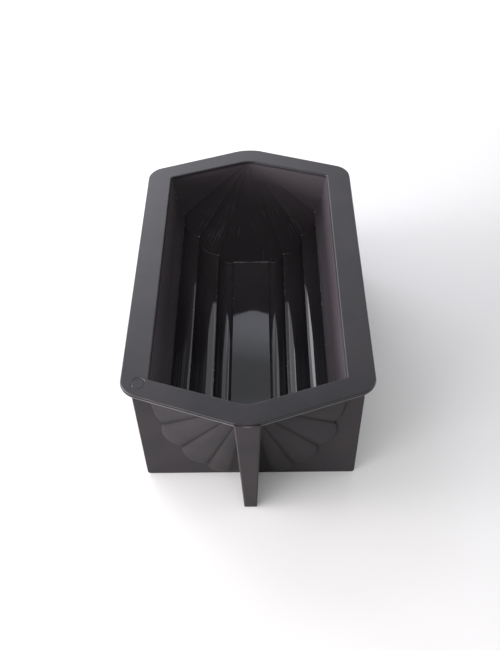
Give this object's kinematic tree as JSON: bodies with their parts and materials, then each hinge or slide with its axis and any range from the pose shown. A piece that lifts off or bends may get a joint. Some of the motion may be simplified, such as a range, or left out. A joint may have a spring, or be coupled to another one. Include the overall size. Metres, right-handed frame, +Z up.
{
  "type": "silicone loaf mould",
  "caption": "Fluted silicone loaf mould with fan-shaped pointed ends, a flat rim, and cross panels and fins that stand it level.",
  "frame": {"origin": "on the table, under the middle of the mould", "axes": "+Z up; +Y along the mould, away from the end that the picture shows in front; +X to the right of that view"},
  "size_m": [0.1292, 0.2246, 0.08],
  "materials": {
    "satin_silicone": "satin charcoal silicone",
    "gloss_silicone": "charcoal silicone, polished inside the cavity"
  },
  "bodies": {
    "root": {"rim_flange": "satin_silicone", "left_fluted_side": "gloss_silicone", "right_fluted_side": "gloss_silicone", "floor_strip": "gloss_silicone", "front_fan_end": "gloss_silicone", "rear_fan_end": "gloss_silicone", "front_support_panel": "satin_silicone", "rear_support_panel": "satin_silicone", "front_fin": "satin_silicone", "rear_fin": "satin_silicone"}
  },
  "joints": []
}
